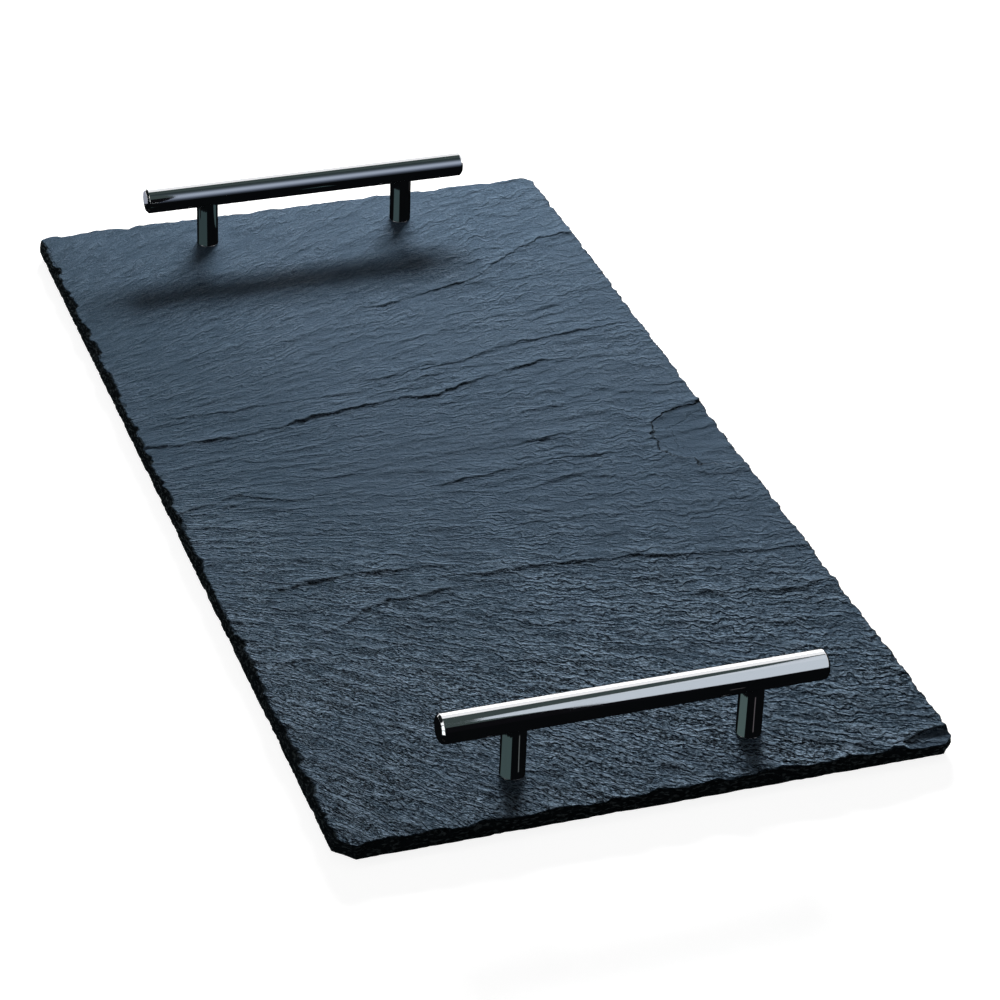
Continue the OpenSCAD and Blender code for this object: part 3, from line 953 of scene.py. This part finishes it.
def makePost(end, side, material):
    # a tube whose top follows the bar: z = axis - sqrt(R^2 - y^2), inside and out
    saddleRadius = barRadius + post["saddleClear"]
    radius = (postHigh[0] - postLow[0]) / 2
    t = fullTurn(post["around"])

    def saddle(r):
        return barAxisZ - np.sqrt(saddleRadius ** 2 - (r * np.sin(t)) ** 2)

    base = seatZ + post["footHeight"]
    foot = softProfile(
        [
            (post["bore"], seatZ), (radius - post["chamfer"], seatZ),
            (radius, seatZ + post["chamfer"]), (radius, base),
        ],
        post["rounding"],
    )
    rings = [aroundZ(r, t, z) for r, z in foot]
    for share in np.linspace(0.1, 1, post["wallRings"]):
        rings.append(aroundZ(radius, t, base + share * (saddle(radius) - base)))
    for r in np.linspace(radius - post["rimInset"], post["bore"], post["rimRings"]):
        rings.append(aroundZ(r, t, saddle(r)))
    rings = np.array(rings) + np.array([side * postX, end * postY, 0])
    return turnedSkin("handle_post", rings, material, closed=True, smoothAngle=30)


chromeMaterial = makeMetalMaterial("polished_chrome", chromeFinish)
for endName, end in ends.items():
    piece = makeBar(end, chromeMaterial)
    piece.name = endName + "_bar"
    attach(piece, "root")
    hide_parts(endName + "_handle_bar")
    for sideName, side in sides.items():
        piece = makePost(end, side, chromeMaterial)
        piece.name = f"{endName}_{sideName}_handle_post"
        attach(piece, "root")
        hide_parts(f"{endName}_{sideName}_post")
print("handles made")


# Fixings: zinc-plated screws with a cross recess, studs and washers

zincFinish = {
    "colour": (0.56, 0.57, 0.60, 1),
    "roughness": (0.24, 0.42),
    "haze": (350.0, 0.4, 0.65),
    # grinding marks in a metre along and across, and their depth in metres
    "marks": (500.0, 3000.0),
    "markDepth": 0.00001,
}
thread = {"pitch": 0.7, "depth": 0.36, "perPitch": 6, "around": 36}
screwHead = {
    "round": 1.1, "centre": 0.15, "faceRings": 22, "backRound": 0.1, "shankGap": 0.05,
    "crossWidth": 0.5, "crossLength": 2.2, "crossDepth": 1.4, "crossSlope": 0.35,
    "crossWall": 0.12, "crossEnd": 0.3,
}
washer = {"holeRadius": 2.15, "rounding": 0.1, "seam": 0.05, "around": 72}


def threadRings(radius, low, high):
    # r = R - depth * tooth(z / pitch - t / 2 pi), the tooth being a triangle wave,
    # with the thread run out to a plain cone over the last pitch at each end
    count = int((high - low) / thread["pitch"] * thread["perPitch"]) + 1
    z = np.linspace(low, high, count)[:, None]
    t = fullTurn(thread["around"])
    turn = z / thread["pitch"] - t / (2 * np.pi)
    tooth = np.abs(2 * (turn - np.floor(turn)) - 1)
    tip = np.minimum(high - z, z - low) / thread["pitch"]
    cone = radius - thread["depth"] * (1 - np.clip(tip * 2, 0, 1))
    return aroundZ(np.minimum(radius - thread["depth"] * tooth, cone), t, z)


def makeStud(end, side, material):
    low, high = boxInMm(f"{end}_{side}_post_stud")
    rings = threadRings((high[0] - low[0]) / 2, low[2], high[2])
    return turnedSkin(f"{end}_{side}_stud", rings + middleOf(low, high), material)


def makeScrew(end, side, material):
    low, high = boxInMm(f"{end}_{side}_screw")
    studLow, studHigh = boxInMm(f"{end}_{side}_post_stud")
    headTop = boxInMm(f"{end}_{side}_washer")[0][2]
    radius, shank = (high[0] - low[0]) / 2, (studHigh[0] - studLow[0]) / 2
    shoulder, back = screwHead["round"], screwHead["backRound"]
    # the head: a flat face with fine rings for the cross, a round shoulder and a flat back
    face = np.linspace(screwHead["centre"], radius - shoulder, screwHead["faceRings"])
    turn = np.linspace(0, np.pi / 2, 8)[1:]
    r = np.concatenate([face, radius - shoulder * (1 - np.sin(turn)), [radius, radius - back, shank]])
    z = np.concatenate([
        np.full(len(face), low[2]), low[2] + shoulder * (1 - np.cos(turn)),
        [headTop - back, headTop, headTop],
    ])
    around = thread["around"] * 3
    rings = revolve(r, z, around)
    # the cross: two slots that narrow and end in a soft wall, pushed up into the head
    x, y = np.abs(rings[..., 0]), np.abs(rings[..., 1])

    def crossArm(along, across):
        wall = ease((screwHead["crossWidth"] - across) / screwHead["crossWall"])
        return wall * ease((screwHead["crossLength"] - along) / screwHead["crossEnd"])

    slope = 1 - screwHead["crossSlope"] * np.hypot(x, y) / screwHead["crossLength"]
    onFace = (np.arange(len(r)) < len(face))[:, None]
    arms = np.maximum(crossArm(x, y), crossArm(y, x))
    rings[..., 2] += screwHead["crossDepth"] * arms * slope * onFace
    # the shank's rings are repeated round to match the head's
    shankRings = np.repeat(threadRings(shank, headTop + screwHead["shankGap"], high[2]), 3, axis=1)
    shankR = np.hypot(shankRings[..., 0], shankRings[..., 1])
    shankRings = aroundZ(shankR, fullTurn(around), shankRings[..., 2])
    rings = np.vstack([rings, shankRings]) + middleOf(low, high)
    return turnedSkin(f"{end}_{side}_screw_m4", rings, material)


def makeWasher(end, side, material):
    low, high = boxInMm(f"{end}_{side}_washer")
    outer, inner, halfway = (high[0] - low[0]) / 2, washer["holeRadius"], (low[2] + high[2]) / 2
    profile = softProfile(
        [
            (inner, halfway), (inner, low[2]), (outer, low[2]), (outer, high[2]), (inner, high[2]),
            (inner, halfway + washer["seam"]),
        ],
        washer["rounding"], 4,
    )
    rings = revolve(profile[:, 0], profile[:, 1], washer["around"]) + middleOf(low, high)
    return turnedSkin(f"{end}_{side}_flat_washer", rings, material, closed=True)


zincMaterial = makeMetalMaterial("zinc_plate", zincFinish)
for endName in ends:
    for sideName in sides:
        makers = (("post_stud", makeStud), ("screw", makeScrew), ("washer", makeWasher))
        for node, maker in makers:
            piece = maker(endName, sideName, zincMaterial)
            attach(piece, "root")
            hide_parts(f"{endName}_{sideName}_{node}")
print("fixings made")


# Feet: soft round buttons

footFinish = {
    "colour": (0.016, 0.016, 0.017, 1),
    "dust": (0.05, 0.05, 0.05, 1),
    "dustPatches": (260.0, 0.5, 0.8),
    "roughness": 0.78,
    "grain": (2600.0, 2600.0),
    "grainDepth": 0.00004,
}
footShape = {
    "round": 0.8, "draft": 0.5, "dish": 0.35, "dishShare": 0.55, "centre": 0.3, "around": 96,
    # how far in and down the points of the top edge lie
    "topIn": (0.05, 0, 0.05), "topDown": (0.15, 0.08, 0),
}


def makeFootMaterial():
    material, tree, shader = newMaterial("foot_rubber")
    place = objectPlace(tree)
    dust = patchesAt(tree, place, *footFinish["dustPatches"])
    pores = ridgesAt(tree, place, *footFinish["grain"], 2.0)
    connect(tree, shader, {
        "Base Color": mixColour(tree, dust, footFinish["colour"], footFinish["dust"]),
        "Roughness": footFinish["roughness"],
        "Normal": bumped(tree, pores, footFinish["grainDepth"]),
    })
    return material


def makeFoot(end, side, material):
    low, high = boxInMm(f"{end}_{side}_foot")
    radius, edge, centre = (high[0] - low[0]) / 2, footShape["round"], footShape["centre"]
    turn = np.linspace(0, np.pi / 2, 8)[1:]
    base = radius - footShape["draft"]
    # the tread is a flat ring round a shallow dish
    dish = np.linspace(centre, base * footShape["dishShare"], 8)
    dishZ = low[2] + footShape["dish"] * (1 - (dish / dish[-1]) ** 2)
    r = np.concatenate([
        dish, [base - edge], base - edge * (1 - np.sin(turn)),
        radius - np.array(footShape["topIn"]), [centre],
    ])
    z = np.concatenate([
        dishZ, [low[2]], low[2] + edge * (1 - np.cos(turn)),
        high[2] - np.array(footShape["topDown"]), [high[2]],
    ])
    rings = revolve(r, z, footShape["around"]) + middleOf(low, high)
    return turnedSkin(f"{end}_{side}_round_foot", rings, material)


footMaterial = makeFootMaterial()
for endName in ends:
    for sideName in sides:
        piece = makeFoot(endName, sideName, footMaterial)
        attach(piece, "root")
        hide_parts(f"{endName}_{sideName}_foot")
print("feet made")


# Studio: white floor and surround, soft lamps, and cards that only the gloss sees

def level(z, *places):
    # corners of a level sheet
    return [(x, y, z) for x, y in places]


def standing(y, *places):
    # corners of a sheet that stands across the board
    return [(x, y, z) for x, z in places]


def wall(first, second, low, high):
    # corners of an upright sheet over the line between two places
    return [(*first, low), (*second, low), (*second, high), (*first, high)]


studio = {
    "floorSize": 8.0,
    "surround": 0.064,
    "floor": {"base": 0.48, "glow": 0.89},
    # place, size and watts of each lamp, and whether the gloss sees it
    "lamps": [
        ((0.36, 0.95, 0.43), (0.5, 0.15), 25.5, False),
        ((-1.7, -0.2, 1.1), (0.9, 0.9), 2.9, True),
        ((0.2, 0.2, 2.2), (1.2, 1.2), 2.1, False),
    ],
    "target": (0, 0, 0.01),
    # colour and corners of each card: the dark table, the ceiling, the front wall, the window
    # at the rear, a bright sheet at the left, the left wall, a pale sheet at the front with its
    # top, the table's end at the rear left, and the bright sheet's glow on the table
    "cards": {
        "table_card": (
            (0.0025, 0.003, 0.0035),
            level(0.0004, (-3, -3.6), (3, -3.6), (3, 0.29), (-0.079, 0.29), (-0.079, 0.33), (-3, 0.33)),
        ),
        "ceiling_card": ((0.050, 0.068, 0.066), level(4.4, (-7, -6.4), (7, -6.4), (7, 1.5), (-7, 1.5))),
        "wall_card": ((0.004, 0.004, 0.005), wall((-7, -3.6), (7, -3.6), 0, 2.6)),
        "window_card": ((2.5, 2.5, 2.5), wall((-0.1, 2.35), (1.6, 1.8), 0.6, 1.7)),
        "side_card": ((1.4, 1.5, 1.5), wall((-1.77, -0.33), (-1.66, -0.95), 0.08, 0.72)),
        "left_card": ((0.01, 0.012, 0.013), wall((-3, -5), (-3, 7), 0, 5)),
        "pale_card": (
            (0.60, 0.66, 0.72),
            standing(
                -1.42, (0.40, 0.49), (0.448, 0.331), (0.502, 0.178), (5, 0.178), (5, 4.2), (1.32, 4.2),
                (1.2, 3.9), (0.736, 2.57), (0.475, 1.5), (0.446, 1.18),
            ),
        ),
        "pale_top_card": (
            (0.66, 0.71, 0.77),
            level(4.2, (1.32, -1.42), (1.49, -0.845), (1.61, -0.295), (1.76, 0.893), (5, 0.893), (5, -1.42)),
        ),
        "end_card": (
            (0.30, 0.32, 0.38),
            level(0.0006, (-0.16, 0.287), (-0.084, 0.287), (-0.084, 0.34), (-0.16, 0.34)),
        ),
        "side_table_card": (
            (1.4, 1.5, 1.5),
            level(0.0006, (-0.165, -0.235), (-1.66, -0.5), (-1.66, -0.98), (-0.165, -0.30)),
        ),
    },
    # what each post shows of the room: its end and side, a colour, two directions round the
    # post in degrees from the front towards the left, and two distances from its middle
    "stripes": [
        ("front", "left", (0.050, 0.078, 0.078), (32, 130), (0.008, 0.046)),
        ("front", "left", (0.100, 0.110, 0.110), (-34, -26), (0.022, 0.046)),
        ("front", "right", (0.075, 0.112, 0.108), (52, 128), (0.008, 0.046)),
        ("front", "right", (0.090, 0.080, 0.086), (-17, -9), (0.022, 0.046)),
        ("rear", "left", (0.034, 0.054, 0.056), (20, 118), (0.008, 0.060)),
        ("rear", "right", (0.045, 0.072, 0.075), (26, 88), (0.008, 0.058)),
    ],
    "stripeHeight": 0.0006,
    # a stripe is clear where it is seen less slantingly than this
    "stripeSlant": 0.34,
    # the screen between the handles, seen by the rear one only: heights and their colours
    "screen": {
        "y": 0.0, "x": (-0.03, 0.09, 0.45),
        "stops": [
            (0.005, (0.008, 0.010, 0.013)), (0.05, (0.05, 0.06, 0.08)), (0.10, (0.20, 0.235, 0.30)),
            (0.15, (0.37, 0.42, 0.51)), (0.21, (0.36, 0.41, 0.50)), (0.30, (0.15, 0.18, 0.22)),
            (0.40, (0.045, 0.06, 0.065)), (0.95, (0.018, 0.028, 0.030)),
        ],
    },
}
camera = {
    "place": (-0.42798, -1.24273, 0.80093),
    "azimuth": -19.97,
    "elevation": 31.2,
    "roll": 2.18,
    "lens": 128.26,
    "sensor": 36,
    "shiftY": -0.0285,
    "farthest": 50,
}


def whiteToCamera(tree):
    # a strength of 1 where the camera, a reflection or a refraction sees the surface
    path = addNode(tree, "ShaderNodeLightPath").outputs
    seen = calculate(tree, "MAXIMUM", path["Is Camera Ray"], path["Is Glossy Ray"])
    return calculate(tree, "MAXIMUM", seen, path["Is Transmission Ray"])


def flatSheet(name, corners, material):
    mesh = bpy.data.meshes.new(name)
    mesh.from_pydata(corners, [], [tuple(range(len(corners)))])
    return linkPiece(name, mesh, material)


def makeFloor():
    material, tree, shader = newMaterial("white_floor")
    base, glow = studio["floor"]["base"], studio["floor"]["glow"]
    connect(tree, shader, {
        "Base Color": (base, base, base, 1),
        "Roughness": 0.9,
        "Specular IOR Level": 0.0,
        "Emission Color": (1, 1, 1, 1),
        "Emission Strength": calculate(tree, "MULTIPLY", whiteToCamera(tree), glow),
    })
    reach = studio["floorSize"] / 2
    corners = level(0, (-reach, -reach), (reach, -reach), (reach, reach), (-reach, reach))
    flatSheet("studio_floor", corners, material)


def makeCard(name, colour, corners):
    # a flat sheet with a plain glow, out of sight of the camera and of the soft light
    material, tree, shader = newMaterial(name)
    connect(tree, shader, {
        "Base Color": (0, 0, 0, 1),
        "Specular IOR Level": 0,
        "Emission Color": (*colour, 1),
        "Emission Strength": 1,
    })
    card = flatSheet(name, corners, material)
    card.visible_camera = card.visible_diffuse = card.visible_shadow = False
    card.visible_transmission = card.visible_volume_scatter = False
    return tree, shader


def makeStripes():
    # a wedge on the table that starts under its post fills the same part of the post's
    # width all the way up
    for number, (end, side, colour, angles, (near, far)) in enumerate(studio["stripes"]):
        x, y = sides[side] * postX * mm, ends[end] * postY * mm
        turn = np.radians(np.linspace(*angles, 5))
        rim = [(far, angle) for angle in turn] + [(near, angle) for angle in turn[::-1]]
        places = [(x - reach * math.sin(angle), y - reach * math.cos(angle)) for reach, angle in rim]
        corners = level(studio["stripeHeight"], *places)
        tree, shader = makeCard(f"stripe_card_{number}", colour, corners)
        # clear from above, so that the bar over it doesn't show it
        slant = addNode(tree, "ShaderNodeLayerWeight", {"Blend": 0.5}).outputs["Facing"]
        solid = calculate(tree, "GREATER_THAN", slant, studio["stripeSlant"])
        connect(tree, shader, {"Alpha": solid})


def makeScreen():
    # the screen's glow changes with its height, and its front is clear
    screen = studio["screen"]
    (lowX, highX, rightX), y, stops = screen["x"], screen["y"], screen["stops"]
    low, high = stops[0][0], stops[-1][0]
    corners = standing(y, (lowX, low), (highX, high), (rightX, high), (rightX, low))
    tree, shader = makeCard("screen_card", stops[0][1], corners)
    share = ranged(tree, separated(tree, objectPlace(tree))["Z"], low, high)
    ramp = addNode(tree, "ShaderNodeValToRGB", {"Fac": share})
    while len(ramp.color_ramp.elements) < len(stops):
        ramp.color_ramp.elements.new(0.5)
    for element, (z, colour) in zip(ramp.color_ramp.elements, stops):
        element.position = (z - low) / (high - low)
        element.color = (*colour, 1)
    facing = addNode(tree, "ShaderNodeNewGeometry").outputs["Backfacing"]
    clear = calculate(tree, "SUBTRACT", 1.0, facing)
    connect(tree, shader, {"Emission Color": ramp.outputs["Color"], "Alpha": clear})


def makeWorld():
    world = bpy.data.worlds.new("white_surround")
    bpy.context.scene.world = world
    world.use_nodes = True
    tree = world.node_tree
    strength = mixNumber(tree, whiteToCamera(tree), studio["surround"], 1.0)
    connect(tree, tree.nodes["Background"], {"Color": (1, 1, 1, 1), "Strength": strength})


def makeLamps():
    for number, (place, size, watts, glossy) in enumerate(studio["lamps"]):
        data = bpy.data.lights.new(f"soft_lamp_{number}", "AREA")
        data.shape = "RECTANGLE"
        data.size, data.size_y = size
        data.energy = watts
        lamp = bpy.data.objects.new(data.name, data)
        lamp.location = place
        lamp.visible_glossy = glossy
        away = Vector(place) - Vector(studio["target"])
        lamp.rotation_euler = away.to_track_quat("Z", "Y").to_euler()
        bpy.context.scene.collection.objects.link(lamp)


def makeCamera():
    # back points from the board to the camera; the roll turns the camera about it
    azimuth, elevation, roll = (math.radians(camera[k]) for k in ("azimuth", "elevation", "roll"))
    back = Vector((
        math.sin(azimuth) * math.cos(elevation), -math.cos(azimuth) * math.cos(elevation), math.sin(elevation)
    ))
    right = (-back).cross(Vector((0, 0, 1))).normalized()
    up = right.cross(-back)
    across = right * math.cos(roll) + up * math.sin(roll)
    upright = up * math.cos(roll) - right * math.sin(roll)
    data = bpy.data.cameras.new("product_camera")
    data.lens = camera["lens"]
    data.sensor_width = camera["sensor"]
    data.shift_y = camera["shiftY"]
    data.clip_end = camera["farthest"]
    view = bpy.data.objects.new("product_camera", data)
    turn = Matrix((across, upright, back)).transposed().to_4x4()
    view.matrix_world = Matrix.Translation(camera["place"]) @ turn
    bpy.context.scene.collection.objects.link(view)
    bpy.context.scene.camera = view


makeFloor()
for name, (colour, corners) in studio["cards"].items():
    makeCard(name, colour, corners)
makeStripes()
makeScreen()
makeWorld()
makeLamps()
makeCamera()
bpy.context.scene.view_settings.view_transform = "Standard"
print("studio ready")
